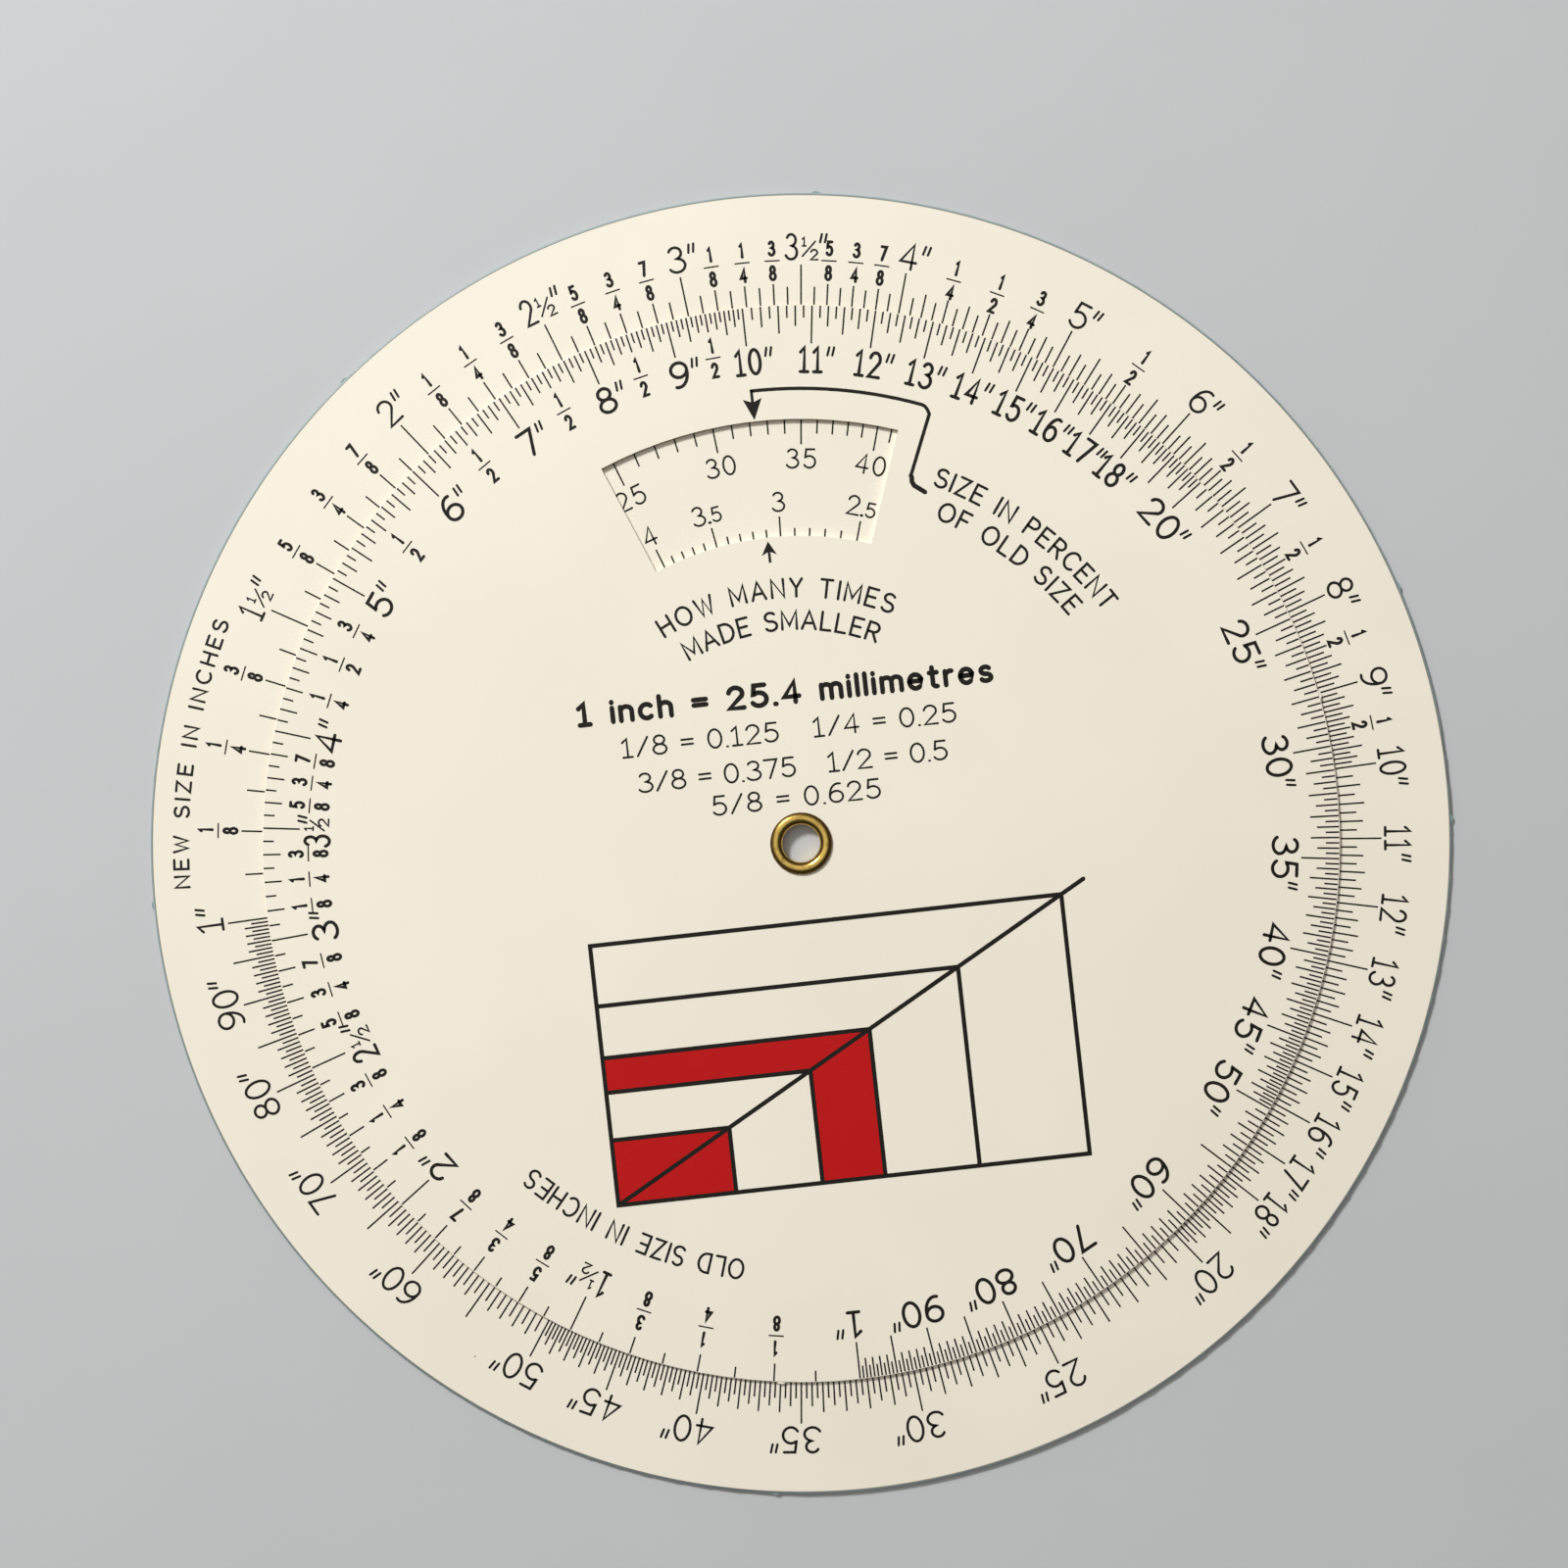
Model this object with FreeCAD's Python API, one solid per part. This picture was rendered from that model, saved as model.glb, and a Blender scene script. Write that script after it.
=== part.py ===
"""Proportional scale wheel: two printed vinyl discs that turn on one brass eyelet.

Millimetres, +Z out of the printed face. The origin is on the eyelet's axis, in the plane that the
wheel lies on. Bearings are degrees clockwise from +Y, as the scales read, and the top disc stands at
the setting that the photograph shows.
"""
import FreeCAD, Part
import math
import os

# Discs
BASE_RADIUS = 82.55
TOP_RADIUS = 68.25
BASE_THICKNESS = 0.5
TOP_THICKNESS = 0.5
DISC_GAP = 0.06
BASE_EDGE_ROUND = 0.25
TOP_EDGE_ROUND = 0.12

# Tabs left on the rims where the cutting die was nicked
TAB_WIDTH = 1.2
TAB_HEIGHT = 0.25
BASE_TAB_BEARINGS = [1.3, 66.7, 87.8, 182.2, 264.5, 315.3]
TOP_TAB_BEARINGS = [74.0, 182.1, 265.8, 330.3]

# Window in the top disc: how far it lies in from the rim, and its depth towards the eyelet
WINDOW_INSET = 14.5
WINDOW_DEPTH = 14.8
WINDOW_START = -28.1
WINDOW_END = 13.2

# Brass eyelet
BORE_RADIUS = 2.4
BARREL_WALL = 0.28
HOLE_CLEARANCE = 0.05
HEAD_RADIUS = 3.92
HEAD_HEIGHT = 0.55
HEAD_RUNNING_GAP = 0.04
SET_RIM_RADIUS = 3.35
SET_RIM_HEIGHT = 0.4
SEAT_DEPTH = 0.15
SEAT_CLEARANCE = 0.1
SPLIT_COUNT = 6
SPLIT_WIDTH = 0.22
SPLIT_ROOT = 0.05
CUT_OVERRUN = 0.1

# Printed graduations
INK_THICKNESS = 0.02
LINE_WIDTH = 0.21
RIM_MARGIN = 0.15
UNDERLAP = 1.5
DEGREES_PER_DECADE = 180.0
BASE_ONE_BEARING = 262.05
TOP_ONE_BEARING = 173.7

# From, to, then (interval, length inside the seam, length outside it), the longest interval first
INCH_RANGES = [
    (1, 4, [(1 / 2, 4.75, 5.15), (1 / 8, 2.35, 2.75), (1 / 16, 1.5, 2.35)]),
    (4, 5, [(1, 4.75, 5.25), (1 / 2, 2.5, 2.95), (1 / 8, 2.35, 3.1), (1 / 16, 1.5, 2.35)]),
    (5, 10, [
        (1, 4.75, 5.25),
        (1 / 2, 2.5, 2.95),
        (1 / 4, 3.25, 3.95),
        (1 / 8, 2.35, 3.15),
        (1 / 16, 1.5, 2.35),
    ]),
    (10, 20, [(1, 4.95, 5.35), (1 / 2, 3.65, 3.35), (1 / 4, 2.75, 3.05), (1 / 8, 1.7, 2.25)]),
    (20, 50, [(5, 4.95, 5.35), (1, 3.75, 3.95), (1 / 2, 2.95, 3.15), (1 / 4, 1.85, 2.15)]),
    (50, 100, [(5, 4.95, 5.35), (1, 2.65, 3.15), (1 / 2, 1.7, 2.25)]),
]

# From, to, then (interval, length past the window's edge), the longest interval first
PERCENT_RANGES = [
    (10, 100, [(5, 3.15), (1, 1.75)]),
    (100, 200, [(10, 3.15), (2, 1.75)]),
    (200, 500, [(50, 3.15), (10, 1.75)]),
    (500, 1000, [(100, 3.15), (20, 1.75)]),
]
REDUCTION_RANGES = [
    (1, 5, [(0.5, 2.6), (0.1, 1.05)]),
    (5, 10, [(1, 2.6), (0.2, 1.05)]),
]

# Index arrows beside the window
UPPER_ARROW_LENGTH = 2.7
UPPER_ARROW_HALF_WIDTH = 1.2
UPPER_ARROW_STEM = 1.2
UPPER_STEM_WIDTH = 0.37
LOWER_ARROW_LENGTH = 1.75
LOWER_ARROW_HALF_WIDTH = 0.97
LOWER_ARROW_STEM = 0.95
LOWER_STEM_WIDTH = 0.34
LOWER_ARROW_GAP = 0.5
ARROW_NOTCH = 0.4

# Heights that follow from the stack
SET_RIM_PROUD = SET_RIM_HEIGHT - SEAT_DEPTH
BASE_BACK = SET_RIM_PROUD
BASE_FACE = BASE_BACK + BASE_THICKNESS
TOP_BACK = BASE_FACE + DISC_GAP
TOP_FACE = TOP_BACK + TOP_THICKNESS
HEAD_SEAT = TOP_FACE + HEAD_RUNNING_GAP
SEAT_LEVEL = BASE_BACK + SEAT_DEPTH
BARREL_RADIUS = BORE_RADIUS + BARREL_WALL
HOLE_RADIUS = BARREL_RADIUS + HOLE_CLEARANCE
WINDOW_OUTER_RADIUS = TOP_RADIUS - WINDOW_INSET
WINDOW_INNER_RADIUS = WINDOW_OUTER_RADIUS - WINDOW_DEPTH


def at(bearing, radius, z=0.0):
    """The point at a clockwise bearing and a radius from the eyelet's axis."""
    turn = math.radians(bearing)
    return FreeCAD.Vector(radius * math.sin(turn), radius * math.cos(turn), z)


def flat_cylinder(radius, low, high, centre=FreeCAD.Vector(0, 0, 0)):
    """A solid cylinder between two heights."""
    foot = FreeCAD.Vector(centre.x, centre.y, low)
    return Part.makeCylinder(radius, high - low, foot)


def rim_tabs(rim_radius, bearings, low, high):
    """Low round bumps on a rim, one per bearing."""
    bump = ((TAB_WIDTH / 2) ** 2 + TAB_HEIGHT**2) / (2 * TAB_HEIGHT)
    inset = rim_radius + TAB_HEIGHT - bump
    return [flat_cylinder(bump, low, high, at(bearing, inset)) for bearing in bearings]


def disc(radius, low, high, edge_round, bearings):
    """A die-cut disc with its rolled upper edge, centre hole and rim tabs."""
    sheet = flat_cylinder(radius, low, high)
    upper = [edge for edge in sheet.Edges if edge.BoundBox.ZMin > (low + high) / 2]
    sheet = sheet.makeFillet(edge_round, upper)
    tabs = rim_tabs(radius, bearings, low, high - edge_round)
    return sheet.fuse(tabs).cut(flat_cylinder(HOLE_RADIUS, low, high)).removeSplitter()


def base_disc():
    """The large disc, pressed in round the eyelet's set rim."""
    seat = flat_cylinder(SET_RIM_RADIUS + SEAT_CLEARANCE, BASE_BACK, SEAT_LEVEL)
    sheet = disc(BASE_RADIUS, BASE_BACK, BASE_FACE, BASE_EDGE_ROUND, BASE_TAB_BEARINGS)
    return sheet.cut(seat)


def sector(inner, outer, start, end, low, high):
    """A ring sector between two bearings, with straight radial ends."""
    middle = (start + end) / 2
    edges = [
        Part.Arc(at(start, outer, low), at(middle, outer, low), at(end, outer, low)).toShape(),
        Part.makeLine(at(end, outer, low), at(end, inner, low)),
        Part.Arc(at(end, inner, low), at(middle, inner, low), at(start, inner, low)).toShape(),
        Part.makeLine(at(start, inner, low), at(start, outer, low)),
    ]
    return Part.Face(Part.Wire(edges)).extrude(FreeCAD.Vector(0, 0, high - low))


def top_disc():
    """The small disc with its sector window."""
    window = sector(WINDOW_INNER_RADIUS, WINDOW_OUTER_RADIUS, WINDOW_START, WINDOW_END, TOP_BACK, TOP_FACE)
    return disc(TOP_RADIUS, TOP_BACK, TOP_FACE, TOP_EDGE_ROUND, TOP_TAB_BEARINGS).cut(window)


def point(radius, z):
    """A point of the eyelet's half section."""
    return FreeCAD.Vector(radius, 0, z)


def dome(outer_radius, seat, crest):
    """The outer line of a curl, from the bore over its crest to its shoulder, and the shoulder's height."""
    crest_radius = (BORE_RADIUS + outer_radius) / 2
    shoulder = seat + (crest - seat) / 3
    line = Part.Arc(point(BORE_RADIUS, seat), point(crest_radius, crest), point(outer_radius, shoulder))
    return line.toShape(), shoulder


def head_section():
    """Edges of the head: a sheet that curls over and comes down on the top disc, hollow underneath."""
    crest = HEAD_SEAT + HEAD_HEIGHT
    outside, shoulder = dome(HEAD_RADIUS, HEAD_SEAT, crest)
    lip = HEAD_RADIUS - BARREL_WALL
    under_crest = point((BORE_RADIUS + HEAD_RADIUS) / 2, crest - BARREL_WALL)
    edge = [
        point(HEAD_RADIUS, shoulder),
        point(HEAD_RADIUS, HEAD_SEAT),
        point(lip, HEAD_SEAT),
        point(lip, shoulder),
    ]
    inside = Part.Arc(point(lip, shoulder), under_crest, point(BARREL_RADIUS, HEAD_SEAT))
    return [outside, *Part.makePolygon(edge).Edges, inside.toShape()]


def set_rim_section():
    """Edges of the set rim: the tube's end rolled flat into the base disc's seat."""
    outside, shoulder = dome(SET_RIM_RADIUS, SEAT_LEVEL, SEAT_LEVEL - SET_RIM_HEIGHT)
    edge = [
        point(SET_RIM_RADIUS, shoulder),
        point(SET_RIM_RADIUS, SEAT_LEVEL),
        point(BARREL_RADIUS, SEAT_LEVEL),
    ]
    return [outside, *Part.makePolygon(edge).Edges]


def eyelet():
    """The brass eyelet: domed head, straight barrel and a set rim that split as it was rolled over."""
    walls = [
        Part.makeLine(point(radius, SEAT_LEVEL), point(radius, HEAD_SEAT))
        for radius in (BORE_RADIUS, BARREL_RADIUS)
    ]
    section = Part.sortEdges([*head_section(), *set_rim_section(), *walls])[0]
    tube = Part.Face(Part.Wire(section)).revolve(FreeCAD.Vector(0, 0, 0), FreeCAD.Vector(0, 0, 1), 360)
    split_depth = SET_RIM_HEIGHT - SPLIT_ROOT
    split_foot = BASE_BACK - SET_RIM_PROUD - CUT_OVERRUN
    splits = []
    for index in range(SPLIT_COUNT):
        slit = Part.makeBox(SET_RIM_RADIUS, SPLIT_WIDTH, split_depth + CUT_OVERRUN)
        slit.translate(FreeCAD.Vector(BORE_RADIUS / 2, -SPLIT_WIDTH / 2, split_foot))
        slit.rotate(FreeCAD.Vector(0, 0, 0), FreeCAD.Vector(0, 0, 1), index * 360 / SPLIT_COUNT)
        splits.append(slit)
    return tube.cut(splits)


def mark(bearing, inner, outer, low, width=LINE_WIDTH):
    """One radial line of ink."""
    line = Part.makeBox(width, outer - inner, INK_THICKNESS)
    line.translate(FreeCAD.Vector(-width / 2, inner, low))
    line.rotate(FreeCAD.Vector(0, 0, 0), FreeCAD.Vector(0, 0, 1), -bearing)
    return line


def graduations(ranges, column):
    """Each value of a scale with its mark's length, where every value takes its longest interval."""
    for start, end, tiers in ranges:
        finest = tiers[-1][0]
        for count in range(round((end - start) / finest)):
            value = start + count * finest
            for tier in tiers:
                steps = value / tier[0]
                if abs(steps - round(steps)) < 1e-6:
                    yield value, tier[column]
                    break


def bearing_of(value, one_bearing):
    """Bearing of a value on a logarithmic scale whose 1 stands at one_bearing."""
    return one_bearing + DEGREES_PER_DECADE * math.log10(value)


def outer_scale_marks():
    """Inch marks on the base disc, from under the top disc's rim outward."""
    return [
        mark(bearing_of(value, BASE_ONE_BEARING), TOP_RADIUS - UNDERLAP, TOP_RADIUS + length, BASE_FACE)
        for value, length in graduations(INCH_RANGES, 2)
    ]


def inner_scale_marks():
    """Inch marks on the top disc, from its rim inward."""
    return [
        mark(bearing_of(value, TOP_ONE_BEARING), TOP_RADIUS - length, TOP_RADIUS - RIM_MARGIN, TOP_FACE)
        for value, length in graduations(INCH_RANGES, 1)
    ]


def index_bearing():
    """Bearing of the window's arrows, which stand at ten inches on the top disc."""
    return bearing_of(10, TOP_ONE_BEARING)


def percent_bearing(percent):
    """Bearing on the base disc at which the index reads a percentage."""
    return bearing_of(percent / 10, BASE_ONE_BEARING)


def percent_scale_marks():
    """Percentage marks on the base disc, which hang from the window's outer edge."""
    return [
        mark(percent_bearing(value), WINDOW_OUTER_RADIUS - length, WINDOW_OUTER_RADIUS + UNDERLAP, BASE_FACE)
        for value, length in graduations(PERCENT_RANGES, 1)
    ]


def reduction_scale_marks():
    """Times-smaller marks on the base disc, which stand on the window's inner edge."""
    foot = WINDOW_INNER_RADIUS - UNDERLAP
    return [
        mark(percent_bearing(100 / value), foot, WINDOW_INNER_RADIUS + length, BASE_FACE)
        for value, length in graduations(REDUCTION_RANGES, 1)
    ]


def arrow(tip, length, notch, stem, half_width, stem_width):
    """An ink arrow that runs inward from its tip, or outward where its lengths are negative."""
    barb = tip - length
    root = barb + notch
    tail = barb - stem
    side = stem_width / 2
    right = [(half_width, barb), (side, root), (side, tail)]
    left = [(-x, y) for x, y in reversed(right)]
    outline = [(0, tip), *right, *left, (0, tip)]
    wire = Part.makePolygon([FreeCAD.Vector(x, y, TOP_FACE) for x, y in outline])
    ink = Part.Face(wire).extrude(FreeCAD.Vector(0, 0, INK_THICKNESS))
    ink.rotate(FreeCAD.Vector(0, 0, 0), FreeCAD.Vector(0, 0, 1), -index_bearing())
    return ink


def index_arrows():
    """The two arrows on the top disc that point into the window."""
    upper = arrow(
        WINDOW_OUTER_RADIUS + RIM_MARGIN,
        -UPPER_ARROW_LENGTH,
        -ARROW_NOTCH,
        -UPPER_ARROW_STEM,
        UPPER_ARROW_HALF_WIDTH,
        UPPER_STEM_WIDTH,
    )
    lower = arrow(
        WINDOW_INNER_RADIUS - LOWER_ARROW_GAP,
        LOWER_ARROW_LENGTH,
        ARROW_NOTCH,
        LOWER_ARROW_STEM,
        LOWER_ARROW_HALF_WIDTH,
        LOWER_STEM_WIDTH,
    )
    return [upper, lower]


os.makedirs("parts", exist_ok=True)
NODES = {
    "base_disc": [base_disc()],
    "top_disc": [top_disc()],
    "eyelet": [eyelet()],
    "outer_scale_marks": outer_scale_marks(),
    "inner_scale_marks": inner_scale_marks(),
    "percent_scale_marks": percent_scale_marks(),
    "reduction_scale_marks": reduction_scale_marks(),
    "index_arrows": index_arrows(),
}
for node, pieces in NODES.items():
    shape = pieces[0] if len(pieces) == 1 else Part.makeCompound(pieces)
    shape.exportStep(f"parts/{node}.step")
    print(node, len(shape.Solids), "solids", round(shape.Volume, 3), "mm3", shape.isValid())
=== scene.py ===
import math
import bmesh
import bpy
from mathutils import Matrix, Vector


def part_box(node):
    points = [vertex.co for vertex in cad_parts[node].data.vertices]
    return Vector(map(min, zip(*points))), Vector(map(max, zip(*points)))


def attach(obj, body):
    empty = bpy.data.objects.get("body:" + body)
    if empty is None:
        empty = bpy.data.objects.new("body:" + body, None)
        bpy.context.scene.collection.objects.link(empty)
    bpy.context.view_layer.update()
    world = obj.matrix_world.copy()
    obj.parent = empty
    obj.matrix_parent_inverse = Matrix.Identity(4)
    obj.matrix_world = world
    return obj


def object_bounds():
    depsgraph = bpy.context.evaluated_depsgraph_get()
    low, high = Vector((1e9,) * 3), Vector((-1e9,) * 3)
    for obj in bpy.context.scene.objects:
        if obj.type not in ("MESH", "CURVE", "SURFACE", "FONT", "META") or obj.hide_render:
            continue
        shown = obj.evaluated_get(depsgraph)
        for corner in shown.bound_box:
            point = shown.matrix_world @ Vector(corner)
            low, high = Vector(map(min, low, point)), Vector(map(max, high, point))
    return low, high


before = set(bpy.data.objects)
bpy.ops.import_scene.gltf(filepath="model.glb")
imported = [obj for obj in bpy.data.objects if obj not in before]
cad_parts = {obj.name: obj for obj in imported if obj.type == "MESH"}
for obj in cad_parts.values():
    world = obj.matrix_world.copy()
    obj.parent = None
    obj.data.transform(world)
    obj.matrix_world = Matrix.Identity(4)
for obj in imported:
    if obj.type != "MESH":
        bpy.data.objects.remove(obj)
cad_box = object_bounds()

MM = 0.001

# Radii and bearings of the scales, in millimetres and in degrees clockwise from +Y
BASE_RADIUS = 82.55
WINDOW_OUTER_RADIUS = 53.75
DEGREES_PER_DECADE = 180.0
BASE_ONE_BEARING = 262.05
TOP_ONE_BEARING = 173.7
OUTER_NUMERAL_RADIUS = 73.9
INNER_NUMERAL_RADIUS = 59.5
OUTER_BAR_RADIUS = 73.95
INNER_BAR_RADIUS = 62.4
PERCENT_NUMERAL_RADIUS = 47.5
REDUCTION_NUMERAL_RADIUS = 42.1

# Thickness of the inks, in millimetres. The red stays below the black lines that cross it
INK = 0.02
RED_INK = 0.014

# Strokes: degrees between the points of an arc, how far a bend may reach out, the sides of a round end,
# and the distance under which two points are one
ARC_STEP = 15
MITRE_LIMIT = 1.8
CAP_STEPS = 4
SAME_SPOT = 1e-6

# Heights of the printed faces, and each by the body that it turns with
BASE_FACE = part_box("base_disc")[1].z / MM
TOP_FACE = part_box("top_disc")[1].z / MM
FACES = {"base": BASE_FACE, "top": TOP_FACE}


# Stroke lettering, drawn in a cell one unit high

def arc(cx, cy, rx, ry, start, end):
    """Points along an elliptic arc, in degrees anticlockwise from +X."""
    steps = max(2, math.ceil(abs(end - start) / ARC_STEP))
    turns = [math.radians(start + (end - start) * step / steps) for step in range(steps + 1)]
    return [(cx + rx * math.cos(turn), cy + ry * math.sin(turn)) for turn in turns]


def ring(cx, cy, rx, ry):
    """A closed ellipse."""
    return arc(cx, cy, rx, ry, 90, 450)


BOWL = [(0.0, 0.0), (0.0, 1.0), (0.27, 1.0), *arc(0.27, 0.74, 0.25, 0.26, 90, -90), (0.0, 0.48)]

# The one of a fraction, which has no foot
FOOTLESS_ONE = "|"

# Character: width, strokes
GLYPHS = {
    "0": (0.58, [ring(0.29, 0.5, 0.29, 0.5)]),
    "1": (0.42, [[(0.0, 0.8), (0.21, 1.0), (0.21, 0.0)], [(0.0, 0.0), (0.42, 0.0)]]),
    "2": (0.58, [[*arc(0.28, 0.72, 0.27, 0.28, 170, -35), (0.0, 0.0), (0.58, 0.0)]]),
    "3": (0.58, [[*arc(0.27, 0.77, 0.24, 0.23, 155, -90), *arc(0.27, 0.27, 0.31, 0.27, 90, -155)]]),
    "4": (0.6, [[(0.44, 0.0), (0.44, 1.0), (0.0, 0.28), (0.6, 0.28)]]),
    "5": (0.58, [[(0.54, 1.0), (0.12, 1.0), (0.07, 0.57), *arc(0.28, 0.32, 0.3, 0.32, 128, -150)]]),
    "6": (0.58, [ring(0.29, 0.3, 0.29, 0.3), arc(0.4, 0.34, 0.4, 0.66, 180, 75)]),
    "7": (0.56, [[(0.0, 1.0), (0.56, 1.0), (0.2, 0.0)]]),
    "8": (0.58, [ring(0.29, 0.765, 0.23, 0.235), ring(0.29, 0.265, 0.29, 0.265)]),
    "9": (0.58, [ring(0.29, 0.7, 0.29, 0.3), arc(0.18, 0.66, 0.4, 0.66, 0, -105)]),
    FOOTLESS_ONE: (0.16, [[(0.0, 0.84), (0.16, 1.0), (0.16, 0.0)]]),
    '"': (0.3, [[(0.0, 0.68), (0.08, 1.0)], [(0.22, 0.68), (0.3, 1.0)]]),
    "/": (0.5, [[(0.0, 0.0), (0.5, 1.0)]]),
    ".": (0.04, [[(0.0, 0.0), (0.04, 0.0)]]),
    "=": (0.5, [[(0.0, 0.36), (0.5, 0.36)], [(0.0, 0.62), (0.5, 0.62)]]),
    " ": (0.25, []),
    "A": (0.66, [[(0.0, 0.0), (0.33, 1.0), (0.66, 0.0)], [(0.11, 0.33), (0.55, 0.33)]]),
    "C": (0.64, [arc(0.36, 0.5, 0.36, 0.5, 48, 312)]),
    "D": (0.6, [[(0.0, 0.0), (0.0, 1.0), *arc(0.2, 0.5, 0.4, 0.5, 90, -90), (0.0, 0.0)]]),
    "E": (0.5, [[(0.5, 1.0), (0.0, 1.0), (0.0, 0.0), (0.5, 0.0)], [(0.0, 0.52), (0.42, 0.52)]]),
    "F": (0.48, [[(0.48, 1.0), (0.0, 1.0), (0.0, 0.0)], [(0.0, 0.52), (0.4, 0.52)]]),
    "H": (0.58, [[(0.0, 0.0), (0.0, 1.0)], [(0.58, 0.0), (0.58, 1.0)], [(0.0, 0.52), (0.58, 0.52)]]),
    "I": (0.0, [[(0.0, 0.0), (0.0, 1.0)]]),
    "L": (0.46, [[(0.0, 1.0), (0.0, 0.0), (0.46, 0.0)]]),
    "M": (0.7, [[(0.0, 0.0), (0.0, 1.0), (0.35, 0.2), (0.7, 1.0), (0.7, 0.0)]]),
    "N": (0.58, [[(0.0, 0.0), (0.0, 1.0), (0.58, 0.0), (0.58, 1.0)]]),
    "O": (0.74, [ring(0.37, 0.5, 0.37, 0.5)]),
    "P": (0.52, [BOWL]),
    "R": (0.54, [BOWL, [(0.26, 0.48), (0.54, 0.0)]]),
    "S": (0.54, [[*arc(0.27, 0.76, 0.25, 0.24, 35, 270), *arc(0.27, 0.26, 0.28, 0.26, 90, -150)]]),
    "T": (0.56, [[(0.0, 1.0), (0.56, 1.0)], [(0.28, 1.0), (0.28, 0.0)]]),
    "W": (0.84, [[(0.0, 1.0), (0.22, 0.0), (0.42, 0.9), (0.62, 0.0), (0.84, 1.0)]]),
    "Y": (0.56, [[(0.0, 1.0), (0.28, 0.48), (0.56, 1.0)], [(0.28, 0.48), (0.28, 0.0)]]),
    "Z": (0.54, [[(0.0, 1.0), (0.52, 1.0), (0.0, 0.0), (0.54, 0.0)]]),
    "c": (0.46, [arc(0.26, 0.34, 0.26, 0.34, 48, 312)]),
    "e": (0.48, [[(0.0, 0.36), (0.48, 0.36), *arc(0.24, 0.34, 0.24, 0.34, 0, 310)]]),
    "h": (0.44, [[(0.0, 0.0), (0.0, 1.0)], [*arc(0.22, 0.46, 0.22, 0.22, 180, 0), (0.44, 0.0)]]),
    "i": (0.0, [[(0.0, 0.0), (0.0, 0.68)], [(0.0, 0.93), (0.0, 0.97)]]),
    "l": (0.0, [[(0.0, 0.0), (0.0, 1.0)]]),
    "m": (0.76, [
        [(0.0, 0.0), (0.0, 0.68)],
        [*arc(0.19, 0.49, 0.19, 0.19, 180, 0), (0.38, 0.0)],
        [*arc(0.57, 0.49, 0.19, 0.19, 180, 0), (0.76, 0.0)],
    ]),
    "n": (0.44, [[(0.0, 0.0), (0.0, 0.68)], [*arc(0.22, 0.46, 0.22, 0.22, 180, 0), (0.44, 0.0)]]),
    "r": (0.26, [[(0.0, 0.0), (0.0, 0.68)], arc(0.22, 0.42, 0.22, 0.26, 180, 80)]),
    "s": (0.4, [[*arc(0.2, 0.51, 0.18, 0.17, 35, 270), *arc(0.2, 0.17, 0.2, 0.17, 90, -150)]]),
    "t": (0.3, [
        [(0.12, 0.94), (0.12, 0.14), *arc(0.26, 0.14, 0.14, 0.14, 180, 280)],
        [(0.0, 0.68), (0.3, 0.68)],
    ]),
}


class Style:
    """A lettering size: height and stroke weight in millimetres, sideways stretch and gap between letters."""

    def __init__(self, height, weight, stretch=1.0, gap=0.45):
        self.height = height
        self.weight = weight
        self.stretch = stretch
        self.gap = gap

    def advance(self, character):
        return GLYPHS[character][0] * self.height * self.stretch + self.weight

    def length(self, text):
        return sum(self.advance(character) for character in text) + self.gap * (len(text) - 1)


# Lettering sizes
OUTER_NUMERALS = Style(3.5, 0.34, 0.95)
OUTER_NARROW = Style(3.5, 0.34, 0.68)
OUTER_TEENS = Style(3.5, 0.34, 0.72, 0.35)
INNER_NUMERALS = Style(3.5, 0.42)
INNER_NARROW = Style(3.5, 0.4, 0.62)
INNER_TEENS = Style(3.5, 0.42, 0.66, 0.3)
INCH_MARK = Style(3.5, 0.3, 0.8)
STACKED = Style(2.05, 0.38, 0.54)
HALF_ONE = Style(1.3, 0.22, 0.8)
HALF_TWO = Style(1.5, 0.24)
READING = Style(2.6, 0.26, 0.95)
READING_DECIMAL = Style(2.0, 0.24, 0.95)
READING_POINT = Style(2.6, 0.36)
OUTER_LEGEND = Style(2.1, 0.32, 1.12)
INNER_LEGEND = Style(2.7, 0.32, 0.88)
LEGEND = Style(2.6, 0.34)
BOLD_LINE = Style(3.2, 0.62)
THIN_LINE = Style(2.6, 0.27, 1.1)


def unit_runs(path, index, closed):
    """The directions of the runs that meet at a point of a line."""
    before = path[index - 1] if closed or index else None
    after = path[(index + 1) % len(path)] if closed or index < len(path) - 1 else None
    ends = ((before, path[index]), (path[index], after))
    return [(b - a).normalized() for a, b in ends if a is not None and b is not None]


def round_end(path, end, half, corners):
    """Adds the corners of a round end to a strip's corners, and returns its face."""
    heading = path[0] - path[1] if end == 0 else path[-1] - path[-2]
    first, last = (0, 1) if end == 0 else (2 * end + 1, 2 * end)
    facing = math.atan2(heading.y, heading.x)
    face = [first]
    for step in range(1, CAP_STEPS):
        turn = facing + math.pi * (step / CAP_STEPS - 0.5)
        corners.append(path[end] + Vector((math.cos(turn), math.sin(turn))) * half)
        face.append(len(corners) - 1)
    return [*face, last]


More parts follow.
